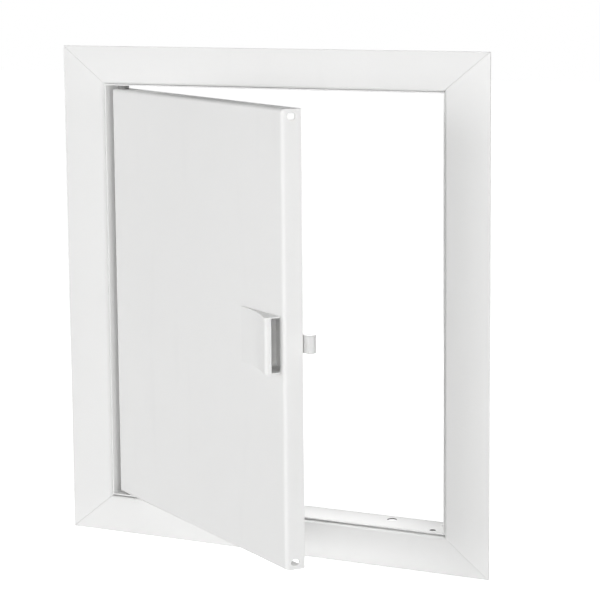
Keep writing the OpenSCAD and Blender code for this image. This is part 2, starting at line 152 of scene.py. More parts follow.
# %% The room
ROOM_LOW, ROOM_HIGH, ROOM_BACK = 1.0, 0.25, 0.1
GRADE_FROM, GRADE_TO = 0.1, 0.6
FADE_FROM, FADE_TO = -0.2, 0.7

room = bpy.data.worlds.new("room")
room.use_nodes = True
scene.world = room
tree = room.node_tree
tree.nodes.clear()
coords = add_node(tree, "ShaderNodeTexCoord")
split = add_node(tree, "ShaderNodeSeparateXYZ")
grade = add_node(tree, "ShaderNodeMapRange")
set_inputs(grade, {"From Min": GRADE_FROM, "From Max": GRADE_TO, "To Min": ROOM_LOW, "To Max": ROOM_HIGH})
fade = add_node(tree, "ShaderNodeMapRange")
set_inputs(fade, {"From Min": FADE_FROM, "From Max": FADE_TO, "To Min": 1.0, "To Max": ROOM_BACK})
level_of = add_node(tree, "ShaderNodeMath", operation="MULTIPLY")
light = add_node(tree, "ShaderNodeBackground")
white = add_node(tree, "ShaderNodeBackground")
light.inputs["Color"].default_value = white.inputs["Color"].default_value = (1, 1, 1, 1)
choose = add_node(tree, "ShaderNodeMixShader")
world_out = add_node(tree, "ShaderNodeOutputWorld")
wire(
    tree,
    (coords.outputs["Generated"], split.inputs[0]),
    (split.outputs["Z"], grade.inputs["Value"]),
    (split.outputs["Y"], fade.inputs["Value"]),
    (grade.outputs["Result"], level_of.inputs[0]),
    (fade.outputs["Result"], level_of.inputs[1]),
    (level_of.outputs[0], light.inputs["Strength"]),
    (seen_directly(tree), choose.inputs["Fac"]),
    (light.outputs[0], choose.inputs[1]),
    (white.outputs[0], choose.inputs[2]),
    (choose.outputs[0], world_out.inputs["Surface"]),
)
print("room light from", ROOM_LOW, "at the horizon to", ROOM_HIGH, "overhead")

# %% [markdown]
# ## The ground
# The panel stands on white paper. A large flat sheet is enough, because no edge of it comes into the picture.
# The paper is matte, so it takes the shadow. For rays that see it directly it also glows a little, and paper
# away from the shadow then comes out white.

# %% Paper ground
GROUND_SIZE = 8.0
GROUND_DROP = 0.2 * MM
PAPER_TONE, PAPER_GLOW = 0.8, 0.85

ground_mesh = bpy.data.meshes.new("ground")
half = GROUND_SIZE / 2
ground_z = solid_box[0].z - GROUND_DROP
ground_mesh.from_pydata(
    [(-half, -half, ground_z), (half, -half, ground_z), (half, half, ground_z), (-half, half, ground_z)],
    [], [(0, 1, 2, 3)],
)
ground = bpy.data.objects.new("ground", ground_mesh)
scene.collection.objects.link(ground)

paper = bpy.data.materials.new("white_paper")
paper.use_nodes = True
tree = paper.node_tree
tree.nodes.clear()
matte = add_node(tree, "ShaderNodeBsdfDiffuse")
matte.inputs["Color"].default_value = (PAPER_TONE, PAPER_TONE, PAPER_TONE, 1)
glow = add_node(tree, "ShaderNodeEmission")
glow.inputs["Color"].default_value = (PAPER_GLOW, PAPER_GLOW, PAPER_GLOW, 1)
both = add_node(tree, "ShaderNodeAddShader")
choose = add_node(tree, "ShaderNodeMixShader")
paper_out = add_node(tree, "ShaderNodeOutputMaterial")
wire(
    tree,
    (matte.outputs[0], both.inputs[0]),
    (glow.outputs[0], both.inputs[1]),
    (seen_directly(tree), choose.inputs["Fac"]),
    (matte.outputs[0], choose.inputs[1]),
    (both.outputs[0], choose.inputs[2]),
    (choose.outputs[0], paper_out.inputs["Surface"]),
)
ground_mesh.materials.append(paper)
print("ground at", round(ground_z / MM, 1), "mm")

# %% [markdown]
# ## The lamps
# Three broad lamps stand in front: one on the left for the flange and the opening, one near the camera for the
# faces, and one on the right for the free edge of the door. One weak lamp behind shapes the back. A slim lamp
# with a narrow beam hangs in the opening, behind where the door shuts, and lights the sill. The last one shines
# down on the paper in front. One large lamp would be simpler, but then the door, the flange and the edge would
# all have the same white. A lamp that looks straight down has no natural upright, so the slim one is aimed
# with no turn to the side, which keeps its long side along X.

# %% Soft lamps
def soft_lamp(name, place, target, width, height, watts, spread=180):
    """A rectangular soft light that faces a target. It lights the object and isn't seen itself."""
    data = bpy.data.lights.new(name, "AREA")
    data.shape, data.size, data.size_y, data.energy = "RECTANGLE", width, height, watts
    data.spread = math.radians(spread)
    lamp = bpy.data.objects.new(name, data)
    toward = Vector(target) - Vector(place)
    lamp.matrix_world = Matrix.Translation(place) @ toward.to_track_quat("-Z", "Y").to_matrix().to_4x4()
    lamp.visible_camera = False
    scene.collection.objects.link(lamp)


soft_lamp("left_light", (-1.0, -1.3, 0.1), (0, 0, 0), 1.0, 0.7, 9.2)
soft_lamp("front_light", (0.8, -1.5, 0.15), (0.03, -0.03, 0), 0.6, 0.5, 7.2)
soft_lamp("right_light", (1.4, -0.6, 0.0), (0.03, -0.03, 0), 0.7, 0.6, 7.5)
soft_lamp("back_light", (-0.35, 0.5, 0.22), (0.05, 0, -0.1), 0.5, 0.25, 1.7)
soft_lamp("opening_light", (0.035, 0.0165, -0.025), (0.035, 0.004, -0.11), 0.12, 0.008, 0.0085, spread=50)
soft_lamp("paper_light", (0.15, -0.5, 0.1), (0.15, -0.5, -0.13), 1.0, 0.5, 0.2)
scene.view_settings.view_transform = "Standard"

# %% [markdown]
# ## Skins that several finishes share
# Powder coat, moulded plastic and plated steel each have a skin: a tone that drifts a little, a gloss that comes
# and goes, and a fine relief. An image could hold these, but noise on object coordinates has no seams and no
# stretching, and it can be as fine as needed. Each skin is a node group, so that two finishes of one kind differ
# only in the values that they give it.

# %% Helper for skin groups
def skin_group(name, inputs, outputs):
    """A shader group with named sockets, and its two end nodes."""
    group = bpy.data.node_groups.new(name, "ShaderNodeTree")
    for label, kind, value in inputs:
        socket = group.interface.new_socket(label, in_out="INPUT", socket_type="NodeSocket" + kind)
        socket.default_value = value
    for label, kind in outputs:
        group.interface.new_socket(label, in_out="OUTPUT", socket_type="NodeSocket" + kind)
    return group, add_node(group, "NodeGroupInput"), add_node(group, "NodeGroupOutput")


def noise(tree, coords, scale, detail):
    """A noise node on the given coordinates. The scale is a number or a socket."""
    node = add_node(tree, "ShaderNodeTexNoise")
    node.inputs["Detail"].default_value = detail
    if isinstance(scale, (int, float)):
        node.inputs["Scale"].default_value = scale
    else:
        wire(tree, (scale, node.inputs["Scale"]))
    wire(tree, (coords, node.inputs["Vector"]))
    return node.outputs["Fac"]


def around(tree, value, centre, swing):
    """centre + swing * (value - 0.5) * 2, where centre is a number or a socket and swing is a socket."""
    spread = add_node(tree, "ShaderNodeMapRange")
    set_inputs(spread, {"From Min": 0.25, "From Max": 0.75, "To Min": -1.0, "To Max": 1.0})
    result = add_node(tree, "ShaderNodeMath", operation="MULTIPLY_ADD")
    wire(tree, (value, spread.inputs["Value"]), (spread.outputs[0], result.inputs[0]), (swing, result.inputs[1]))
    if isinstance(centre, (int, float)):
        result.inputs[2].default_value = centre
    else:
        wire(tree, (centre, result.inputs[2]))
    return result.outputs[0]


# %% Skin with drifting tone, gloss and relief
def make_skin(name, drift_scale, gloss_scale, detail):
    """A skin group. The drift and gloss scales are its own, and the relief's scale is an input."""
    group, start, end = skin_group(
        name,
        [
            ("Colour", "Color", (0.8, 0.8, 0.8, 1)), ("Tone Swing", "Float", 0.01),
            ("Relief Scale", "Float", 800.0), ("Roughness", "Float", 0.4), ("Roughness Swing", "Float", 0.04),
        ],
        [("Colour", "Color"), ("Roughness", "Float"), ("Relief", "Float")],
    )
    place = add_node(group, "ShaderNodeTexCoord").outputs["Object"]
    tone = around(group, noise(group, place, drift_scale, detail), 1.0, start.outputs["Tone Swing"])
    tint = add_node(group, "ShaderNodeVectorMath", operation="SCALE")
    gloss = around(
        group, noise(group, place, gloss_scale, detail), start.outputs["Roughness"], start.outputs["Roughness Swing"]
    )
    relief = noise(group, place, start.outputs["Relief Scale"], 1.5)
    wire(
        group,
        (start.outputs["Colour"], tint.inputs[0]),
        (tone, tint.inputs["Scale"]),
        (tint.outputs[0], end.inputs["Colour"]),
        (gloss, end.inputs["Roughness"]),
        (relief, end.inputs["Relief"]),
    )
    return group


coat_skin = make_skin("coat_skin", 13.0, 60.0, 3.0)
moulded_skin = make_skin("moulded_skin", 40.0, 240.0, 2.0)
plated_skin = make_skin("plated_skin", 420.0, 1500.0, 4.0)
print("skins:", [g.name for g in (coat_skin, moulded_skin, plated_skin)])

# %% [markdown]
# ## Handling marks
# A panel that has been unpacked and fitted has faint rubs where hands and tools touched it. They could be painted
# by hand. A noise that is pulled out along one direction and cut off near its peaks gives the same thin, scattered
# rubs all over, and both the coat and the grip can use it with an amount of their own.

# %% Marks group
marks, start, end = skin_group(
    "handling_marks",
    [("Colour", "Color", (0.8, 0.8, 0.8, 1)), ("Mark Scale", "Float", 60.0), ("Amount", "Float", 0.05)],
    [("Colour", "Color")],
)
place = add_node(marks, "ShaderNodeTexCoord").outputs["Object"]
pull = add_node(marks, "ShaderNodeMapping")
pull.inputs["Rotation"].default_value = (0.3, 0.2, 0.5)
pull.inputs["Scale"].default_value = (1.0, 1.0, 0.22)
peaks = add_node(marks, "ShaderNodeMapRange")
set_inputs(peaks, {"From Min": 0.6, "From Max": 0.78, "To Min": 0.0, "To Max": 1.0})
strength = add_node(marks, "ShaderNodeMath", operation="MULTIPLY")
rub = add_node(marks, "ShaderNodeMix", data_type="RGBA", blend_type="MULTIPLY")
rub.inputs["B"].default_value = (0.62, 0.62, 0.63, 1)
wire(
    marks,
    (place, pull.inputs["Vector"]),
    (noise(marks, pull.outputs[0], start.outputs["Mark Scale"], 5.0), peaks.inputs["Value"]),
    (peaks.outputs[0], strength.inputs[0]),
    (start.outputs["Amount"], strength.inputs[1]),
    (strength.outputs[0], rub.inputs["Factor"]),
    (start.outputs["Colour"], rub.inputs["A"]),
    (rub.outputs["Result"], end.inputs["Colour"]),
)
print("marks group:", len(marks.nodes), "nodes")

# %% [markdown]
# ## The finishes
# Seven finishes cover the pieces: white powder coat on the sheet, a slightly greyer coat on the tongue, satin
# plastic on the grip, plain plastic inside, nylon bushes darkened to near black as painted shade of their slit, zinc
# plate on the fasteners and drawn wire in the spring. An eighth, bare steel, is for punched edges, and its near
# black tone is partly painted shade in the holes. Each one is a Principled shader. What varies over the surface
# comes from the skin, and what is the same everywhere is typed into the shader's own sockets.

# %% Helper for finishes
def finish(name, skin, colour, tone, relief, roughness, swing, height, mark=0.0, metallic=0.0, specular=0.5):
    """A material from a skin group. relief is a scale per metre and height its depth in metres."""
    made = bpy.data.materials.new(name)
    made.use_nodes = True
    tree = made.node_tree
    shader = tree.nodes["Principled BSDF"]
    shader.inputs["Metallic"].default_value = metallic
    shader.inputs["Specular IOR Level"].default_value = specular
    surface = add_node(tree, "ShaderNodeGroup", node_tree=skin)
    set_inputs(surface, {"Colour": (*colour, 1), "Tone Swing": tone, "Relief Scale": relief})
    set_inputs(surface, {"Roughness": roughness, "Roughness Swing": swing})
    bump = add_node(tree, "ShaderNodeBump")
    bump.inputs["Distance"].default_value = height
    colour_from = surface.outputs["Colour"]
    if mark:
        rubs = add_node(tree, "ShaderNodeGroup", node_tree=marks)
        rubs.inputs["Amount"].default_value = mark
        wire(tree, (colour_from, rubs.inputs["Colour"]))
        colour_from = rubs.outputs["Colour"]
    wire(
        tree,
        (colour_from, shader.inputs["Base Color"]),
        (surface.outputs["Roughness"], shader.inputs["Roughness"]),
        (surface.outputs["Relief"], bump.inputs["Height"]),
        (bump.outputs["Normal"], shader.inputs["Normal"]),
    )
    return made


# %% The finishes
finishes = {
    "white_coat": finish(
        "satin_powder_coat", coat_skin, (0.83, 0.83, 0.825), 0.008, 900.0, 0.55, 0.05, 0.00006,
        mark=0.05, specular=0.12,
    ),
    "tongue_coat": finish(
        "tongue_powder_coat", coat_skin, (0.74, 0.74, 0.735), 0.012, 1300.0, 0.36, 0.06, 0.00005, mark=0.18
    ),
    "grip_plastic": finish(
        "satin_grip_plastic", moulded_skin, (0.8, 0.8, 0.795), 0.006, 2200.0, 0.44, 0.04, 0.00003, mark=0.06
    ),
    "inner_plastic": finish(
        "plain_inner_plastic", moulded_skin, (0.85, 0.85, 0.84), 0.012, 1700.0, 0.52, 0.05, 0.00004
    ),
    # The nylon itself is light; this near black tone is painted shade of the hinge slit where the bushes sit.
    "nylon": finish("nylon_with_painted_shade", moulded_skin, (0.21, 0.21, 0.205), 0.02, 1400.0, 0.4, 0.05, 0.00002),
    "zinc_steel": finish(
        "bright_zinc_plate", plated_skin, (0.6, 0.61, 0.62), 0.08, 2600.0, 0.32, 0.08, 0.00002, metallic=1.0
    ),
    "spring_steel": finish(
        "drawn_spring_wire", plated_skin, (0.46, 0.46, 0.47), 0.1, 3200.0, 0.28, 0.07, 0.00002, metallic=1.0
    ),
}
# Near black: bare steel, darkened further as painted shade inside the punched holes.
bare_steel_and_painted_shade = finish(
    "bare_steel_with_painted_shade", plated_skin, (0.05, 0.05, 0.05), 0.2, 1800.0, 0.6, 0.1, 0.00002, metallic=0.3, specular=0.2
)
print("finishes:", sorted(finishes), "and", bare_steel_and_painted_shade.name)

# %% [markdown]
# ## Tools for making pieces
# Most pieces are a clean mesh that moves with one body of the frame. These helpers put a mesh into the scene, give
# it its finish, and hang it on its body. Shading is smooth, except across edges sharper than a set angle.

# %% Helpers for pieces
body_of = {n: body for body, names in frame["record"]["behaviour"]["bodies"].items() for n in names}
slot_of = {s["node"]: s["material_slot"] for s in frame["record"]["subparts"]}


def shade(mesh, angle=32):
    """Smooth shading, with edges sharper than the angle kept crisp."""
    mesh.shade_smooth()
    mesh.set_sharp_from_angle(angle=math.radians(angle))


def new_piece(name, mesh):
    """Puts a mesh into the scene as an object at the origin."""
    piece = bpy.data.objects.new(name, mesh)
    scene.collection.objects.link(piece)
    return piece


def hang(piece, *stands_for):
    """Gives a piece the finish and the body of the nodes that it stands for."""
    node = stands_for[0]
    if not piece.data.materials:
        piece.data.materials.append(finishes[slot_of[node]])
    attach(piece, body_of[node])
    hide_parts(*stands_for)
    print(piece.name, "on", body_of[node], "with", len(piece.data.polygons), "faces")
    return piece


def evaluated_mesh(piece):
    """The piece's mesh with its modifiers worked in, as a plain mesh."""
    bpy.context.view_layer.update()
    return bpy.data.meshes.new_from_object(piece.evaluated_get(bpy.context.evaluated_depsgraph_get()))


# %% [markdown]
# ## The door's own frame
# Pieces on the door are easier to think about with the door shut, square to the axes. The record gives the hinge's
# place and how far the door stands open at rest, so one matrix turns a shut piece to where it belongs.

# %% From shut to open
swing = next(j for j in frame["joints"] if j["name"] == "door_swing")
hinge_at = Vector(swing["pos_m"])
open_turn = (
    Matrix.Translation(hinge_at)
    @ Matrix.Rotation(math.radians(swing["range_deg"][0]), 4, "Z")
    @ Matrix.Translation(-hinge_at)
)


def shut_box(node):
    """Lowest and highest corner of a door node, as it is with the door shut."""
    points = [open_turn.inverted() @ v.co for v in solids[node].data.vertices]
    return [Vector([pick(p[i] for p in points) for i in range(3)]) for pick in (min, max)]


# %% [markdown]
# ## Coated sheet and mouldings
# Powder coat melts and draws back from a cut edge, so a coated edge is never sharp: it has a small radius that
# catches the light. The same is true of moulded plastic. The solids have knife edges. A Bevel modifier on them
# wouldn't work, because their triangles aren't joined, so each piece is a copy that is first merged and cleared
# of flat edges, and then has its sharp edges rounded. Weighted normals keep the flat faces flat.

# %% Helpers for rounded copies
SAME_POINT = 0.002 * MM
FLAT = math.radians(0.5)


def merge_flats(work):
    """Joins faces that lie flat with each other.

    Two faces that meet along more than one edge stay apart, because joining them could close a hole.
    """
    for edge in list(work.edges):
        if not edge.is_valid or len(edge.link_faces) != 2 or edge.calc_face_angle() > FLAT:
            continue
        one, other = edge.link_faces
        if sum(other in e.link_faces for e in one.edges) == 1:
            bmesh.utils.face_join((one, other))


def rounded(node, radius, steps=3, angle=40, ease=Vector):
    """A merged copy of a solid, with its sharp edges rounded to a radius in millimetres.

    ease is a function that may move each point a little first.
    """
    source = solids[node].data
    mesh = bpy.data.meshes.new(node + "_coated")
    mesh.from_pydata([ease(v.co) for v in source.vertices], [], [p.vertices[:] for p in source.polygons])
    work = bmesh.new()
    work.from_mesh(mesh)
    bmesh.ops.remove_doubles(work, verts=work.verts, dist=SAME_POINT)
    merge_flats(work)
    sharp = [e for e in work.edges if e.is_manifold and e.calc_face_angle() > math.radians(angle)]
    bmesh.ops.bevel(
        work, geom=sharp, offset=radius * MM, offset_type="OFFSET", segments=steps, profile=0.5,
        affect="EDGES", clamp_overlap=False,
    )
    work.to_mesh(mesh)
    work.free()
    shade(mesh)
    piece = new_piece(node + "_coated", mesh)
    flats = piece.modifiers.new("flats", "WEIGHTED_NORMAL")
    flats.keep_sharp, flats.weight = True, 100
    mesh = evaluated_mesh(piece)
    piece.modifiers.remove(flats)
    piece.data = mesh
    return hang(piece, node)


# %% Sheet pieces
COAT_EDGE = 0.12
for node in ("hinge_jamb", "latch_jamb"):
    rounded(node, COAT_EDGE)
rounded("latch_tongue", 0.3)

# %% [markdown]
# The head and the sill were punched after they were coated, so the walls of their holes are bare steel. Their near
# black tone is darker than bare steel, and it also paints the shade inside the holes. The record gives the fixing
# holes, and the pivot holes lie on the hinge's axis and its mirror. The walls are the upright faces close to a
# hole's axis, and they get a second material.

# %% Punched plates
PIVOT_R, NEAR = 1.62, 0.05
fixing = next(m for m in frame["record"]["mounts"] if m["name"] == "sill_fixings")
fixing_x, fixing_y = fixing["dims"]["spacing_x_mm"] / 2, fixing["pos_m"][1] / MM
holes = [(side * fixing_x, fixing_y, fixing["dims"]["hole_r_mm"]) for side in (-1, 1)]
holes += [(side * hinge_at.x / MM, hinge_at.y / MM, PIVOT_R) for side in (-1, 1)]
for node in ("head", "sill"):
    plate = rounded(node, COAT_EDGE)
    # The hole walls get the near black finish: bare steel plus painted shade.
    plate.data.materials.append(bare_steel_and_painted_shade)
    for face in plate.data.polygons:
        x, y = face.center.x / MM, face.center.y / MM
        near = any(math.hypot(x - hx, y - hy) < r + NEAR for hx, hy, r in holes)
        face.material_index = int(near and abs(face.normal.z) < 0.5)
    print(node, "has", sum(f.material_index for f in plate.data.polygons), "bare faces")

# %% [markdown]
# The door is one folded tray. Its hinge fold stands close to the frame, and on the real panel the slit there is
# narrower than the solids have it, so the copy of the door has that fold a little further out. The seats of
# the bushes stay where they are.

# %% Door
FOLD_OUT, FOLD_FROM, SEAT_R = 0.65, 2.0, 3.2


def hinge_fold(point):
    """The point, moved out if it belongs to the hinge fold of the shut door."""
    spot = open_turn.inverted() @ point
    off = (spot - hinge_at).xy / MM
    if off.x < -FOLD_FROM and off.length > SEAT_R:
        spot.x -= FOLD_OUT * MM
    return open_turn @ spot


rounded("door_panel", 0.2, ease=hinge_fold)

# %% [markdown]
# The grip, the housing and the slider are moulded plastic. A mould is cut with a round tool, so their edges
# have larger radii than coated sheet.

# %% Mouldings
rounded("finger_grip", 0.35)
rounded("latch_housing", 0.25)
rounded("latch_slider", 0.3)

# %% [markdown]
# ## The mitred cover flange
# The flange is four lengths of one angle section, sawn to meet on a slope at the corners. Modelling each by hand
# would repeat the same steps, and all four follow one rule: draw the section, draw it out, and shear its ends to
# the mitre. A Geometry Nodes tree holds that rule, with the length, the slope and the seam as named inputs. The
# section itself is the tree's input mesh: one flat face with the bend and the rounded sheet edges in it. At the
# top, coat has run into the slit between the leg and the head, so that length has a thicker leg.

# %% Section of the angle
SHEET, BEND, LEG, COAT = 1.0, 2.0, 10.0, 0.22
SIDE_FACE, END_FACE = 25.0, 19.5
SEAM, RUN_IN = 0.16, 0.5


def arc(cx, cy, r, first, last, steps):
    """Points of an arc, in degrees."""
    turns = [math.radians(first + (last - first) * i / steps) for i in range(steps + 1)]
    return [(cx + r * math.cos(t), cy + r * math.sin(t)) for t in turns]


def angle_section(width, build_up=0.0):
    """Outline of the angle in millimetres: across the face from its inner edge, then depth.

    build_up is coat that has run together on the inside of the leg.
    """
    c, t, r, b = COAT, SHEET, BEND, build_up
    return (
        arc(width - c, c, c, 0, -90, 3)
        + arc(r - b, r, r, 270, 180, 10)
        + arc(c - b, LEG - c, c, 180, 90, 3)
        + arc(t - c, LEG - c, c, 90, 0, 3)
        + arc(r, r, r - t, 180, 270, 8)
        + arc(width - c, t - c, c, 90, 0, 3)
    )


print("points in the section:", len(angle_section(SIDE_FACE)))

# %% Helpers for Geometry Nodes
def node_rule(name, inputs):
    """A Geometry Nodes tree with named inputs, and its two end nodes."""
    tree = bpy.data.node_groups.new(name, "GeometryNodeTree")
    tree.interface.new_socket("Geometry", in_out="INPUT", socket_type="NodeSocketGeometry")
    for label, kind in inputs:
        tree.interface.new_socket(label, in_out="INPUT", socket_type="NodeSocket" + kind)
    tree.interface.new_socket("Material", in_out="INPUT", socket_type="NodeSocketMaterial")
    tree.interface.new_socket("Geometry", in_out="OUTPUT", socket_type="NodeSocketGeometry")
    return tree, add_node(tree, "NodeGroupInput"), add_node(tree, "NodeGroupOutput")


def close_rule(tree, start, end, geometry):
    """Ends a tree: real geometry instead of instances, and its material."""
    real = add_node(tree, "GeometryNodeRealizeInstances")
    paint = add_node(tree, "GeometryNodeSetMaterial")
    wire(
        tree,
        (geometry, real.inputs["Geometry"]),
        (real.outputs["Geometry"], paint.inputs["Geometry"]),
        (start.outputs["Material"], paint.inputs["Material"]),
        (paint.outputs["Geometry"], end.inputs["Geometry"]),
    )


def follow_rule(name, mesh, tree, values):
    """Runs a tree on a mesh with the given inputs and keeps the result as a plain mesh."""
    piece = new_piece(name, mesh)
    rule = piece.modifiers.new(tree.name, "NODES")
    rule.node_group = tree
    for item in tree.interface.items_tree:
        if item.in_out == "INPUT" and item.name in values:
            rule[item.identifier] = values[item.name]
    made = evaluated_mesh(piece)
    piece.modifiers.remove(rule)
    piece.data = made
    made.name = name
    return piece


# %% Rule for a mitred length
mitred, start, end = node_rule("mitred_length", [("Opening", "Float"), ("Slope", "Float"), ("Seam", "Float")])
flip = add_node(mitred, "GeometryNodeFlipFaces")
draw_out = add_node(mitred, "GeometryNodeExtrudeMesh", mode="FACES")
draw_out.inputs["Individual"].default_value = False
draw_out.inputs["Offset Scale"].default_value = 1.0
one_metre = add_node(mitred, "FunctionNodeInputVector", vector=(0, 0, 1))
join = add_node(mitred, "GeometryNodeJoinGeometry")
weld = add_node(mitred, "GeometryNodeMergeByDistance")
weld.inputs["Distance"].default_value = 0.000001
place = add_node(mitred, "GeometryNodeInputPosition")
xyz = add_node(mitred, "ShaderNodeSeparateXYZ")
half_open = add_node(mitred, "ShaderNodeMath", operation="MULTIPLY_ADD")
half_open.inputs[1].default_value = 0.5
half_seam = add_node(mitred, "ShaderNodeMath", operation="MULTIPLY")
half_seam.inputs[1].default_value = -0.5
sloped = add_node(mitred, "ShaderNodeMath", operation="MULTIPLY_ADD")
side = add_node(mitred, "ShaderNodeMath", operation="MULTIPLY_ADD")
side.inputs[1].default_value, side.inputs[2].default_value = 2.0, -1.0
along = add_node(mitred, "ShaderNodeMath", operation="MULTIPLY")
rebuilt = add_node(mitred, "ShaderNodeCombineXYZ")
shear = add_node(mitred, "GeometryNodeSetPosition")
wire(
    mitred,
    (start.outputs["Geometry"], flip.inputs["Mesh"]),
    (start.outputs["Geometry"], draw_out.inputs["Mesh"]),
    (one_metre.outputs["Vector"], draw_out.inputs["Offset"]),
    (flip.outputs["Mesh"], join.inputs["Geometry"]),
    (draw_out.outputs["Mesh"], join.inputs["Geometry"]),
    (join.outputs["Geometry"], weld.inputs["Geometry"]),
    (place.outputs["Position"], xyz.inputs[0]),
    (start.outputs["Seam"], half_seam.inputs[0]),
    (start.outputs["Opening"], half_open.inputs[0]),
    (half_seam.outputs[0], half_open.inputs[2]),
    (xyz.outputs["X"], sloped.inputs[0]),
    (start.outputs["Slope"], sloped.inputs[1]),
    (half_open.outputs[0], sloped.inputs[2]),
    (xyz.outputs["Z"], side.inputs[0]),
    (sloped.outputs[0], along.inputs[0]),
    (side.outputs[0], along.inputs[1]),
    (xyz.outputs["X"], rebuilt.inputs["X"]),
    (xyz.outputs["Y"], rebuilt.inputs["Y"]),
    (along.outputs[0], rebuilt.inputs["Z"]),
    (weld.outputs["Geometry"], shear.inputs["Geometry"]),
    (rebuilt.outputs[0], shear.inputs["Position"]),
)
close_rule(mitred, start, end, shear.outputs["Geometry"])
print("rule:", mitred.name, "with", len(mitred.nodes), "nodes")

# %% The four lengths
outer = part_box("flange_right")[1].x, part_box("flange_top")[1].z
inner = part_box("flange_right")[0].x, outer[1] - END_FACE * MM
face_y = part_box("flange_right")[0].y
side_w, end_w = outer[0] - inner[0], outer[1] - inner[1]


def flange_length(node, width, opening, slope, turn, build_up=0.0):
    """One length of the flange, turned from its own axes (across, depth, along) to its place."""
    outline = angle_section(width / MM, build_up)
    mesh = bpy.data.meshes.new(node)
    mesh.from_pydata([(a * MM, d * MM, 0) for a, d in outline], [], [range(len(outline))])
    values = {"Opening": 2 * opening, "Slope": slope, "Seam": SEAM * MM}
    values["Material"] = finishes["white_coat"]
    piece = follow_rule(node + "_length", mesh, mitred, values)
    piece.data.transform(turn)
    work = bmesh.new()
    work.from_mesh(piece.data)
    bmesh.ops.recalc_face_normals(work, faces=work.faces)
    work.to_mesh(piece.data)
    work.free()
    shade(piece.data, 40)
    hang(piece, node)


def axes(across, along, shift):
    """A matrix that sends the section's axes to the given directions, with depth along Y."""
    turn = Matrix((across, (0, 1, 0), along)).transposed().to_4x4()
    return Matrix.Translation(shift) @ turn


for node, way in (("flange_right", 1), ("flange_left", -1)):
    turn = axes((way, 0, 0), (0, 0, 1), (way * inner[0], face_y, 0))
    flange_length(node, side_w, inner[1], end_w / side_w, turn)
for node, way, build_up in (("flange_top", 1, RUN_IN), ("flange_bottom", -1, 0.0)):
    turn = axes((0, 0, way), (1, 0, 0), (0, face_y, way * inner[1]))
    flange_length(node, end_w, inner[0], side_w / end_w, turn, build_up)

# %% [markdown]
# ## Turned fasteners, set out by rule
# Rivets and weld buttons are bodies of revolution that stand in rows on the head and the sill, the upper ones
# turned over. Each shape is turned once from a profile. A tree then sets it out on a grid, and turns the ones in
# the upper half upside down. Copying objects would do it too, but a tree keeps the spacing in named inputs.

# %% Helper for turned shapes
def turned(name, profile, steps=40):
    """A mesh turned about Z from pairs of radius and height in millimetres."""
    work = bmesh.new()
    rings = []
    for radius, height in profile:
        spots = [2 * math.pi * i / steps for i in range(steps)] if radius else [0.0]
        rings.append([
            work.verts.new((radius * MM * math.cos(a), radius * MM * math.sin(a), height * MM)) for a in spots
        ])
    for low, high in zip(rings, rings[1:]):
        for i in range(steps):
            corners = [low[i % len(low)], low[(i + 1) % len(low)], high[(i + 1) % len(high)], high[i % len(high)]]
            work.faces.new(dict.fromkeys(corners))
    bmesh.ops.recalc_face_normals(work, faces=work.faces)
    mesh = bpy.data.meshes.new(name)
    work.to_mesh(mesh)
    work.free()
    return mesh


# %% Rule for setting out on the end plates
set_out, start, end = node_rule(
    "set_out_on_ends", [("Columns", "Int"), ("Width", "Float"), ("Height", "Float"), ("Depth", "Float")]
)
grid = add_node(set_out, "GeometryNodeMeshGrid")
grid.inputs["Vertices Y"].default_value = 2
stand = add_node(set_out, "GeometryNodeTransform")
stand.inputs["Rotation"].default_value = (math.pi / 2, 0, 0)
shift = add_node(set_out, "ShaderNodeCombineXYZ")
place = add_node(set_out, "GeometryNodeInputPosition")
xyz = add_node(set_out, "ShaderNodeSeparateXYZ")
upper = add_node(set_out, "ShaderNodeMath", operation="GREATER_THAN")
upper.inputs[1].default_value = 0.0
half_turn = add_node(set_out, "ShaderNodeMath", operation="MULTIPLY")
half_turn.inputs[1].default_value = math.pi
tip_over = add_node(set_out, "ShaderNodeCombineXYZ")
copies = add_node(set_out, "GeometryNodeInstanceOnPoints")
wire(
    set_out,
    (start.outputs["Columns"], grid.inputs["Vertices X"]),
    (start.outputs["Width"], grid.inputs["Size X"]),
    (start.outputs["Height"], grid.inputs["Size Y"]),
    (start.outputs["Depth"], shift.inputs["Y"]),
    (grid.outputs["Mesh"], stand.inputs["Geometry"]),
    (shift.outputs[0], stand.inputs["Translation"]),
    (stand.outputs["Geometry"], copies.inputs["Points"]),
    (start.outputs["Geometry"], copies.inputs["Instance"]),
    (place.outputs["Position"], xyz.inputs[0]),
    (xyz.outputs["Z"], upper.inputs[0]),
    (upper.outputs[0], half_turn.inputs[0]),
    (half_turn.outputs[0], tip_over.inputs["X"]),
    (tip_over.outputs[0], copies.inputs["Rotation"]),
)
close_rule(set_out, start, end, copies.outputs["Instances"])
print("rule:", set_out.name, "with", len(set_out.nodes), "nodes")

# %% [markdown]
# ## Corner rivets
# A blind rivet has a low dome with a small well, where its mandrel broke off, and a swollen tail on the blind
# side. The solid shows the dome and the tail. The turned shape adds the well, the broken mandrel in it, and the
# soft shoulder of the tail.

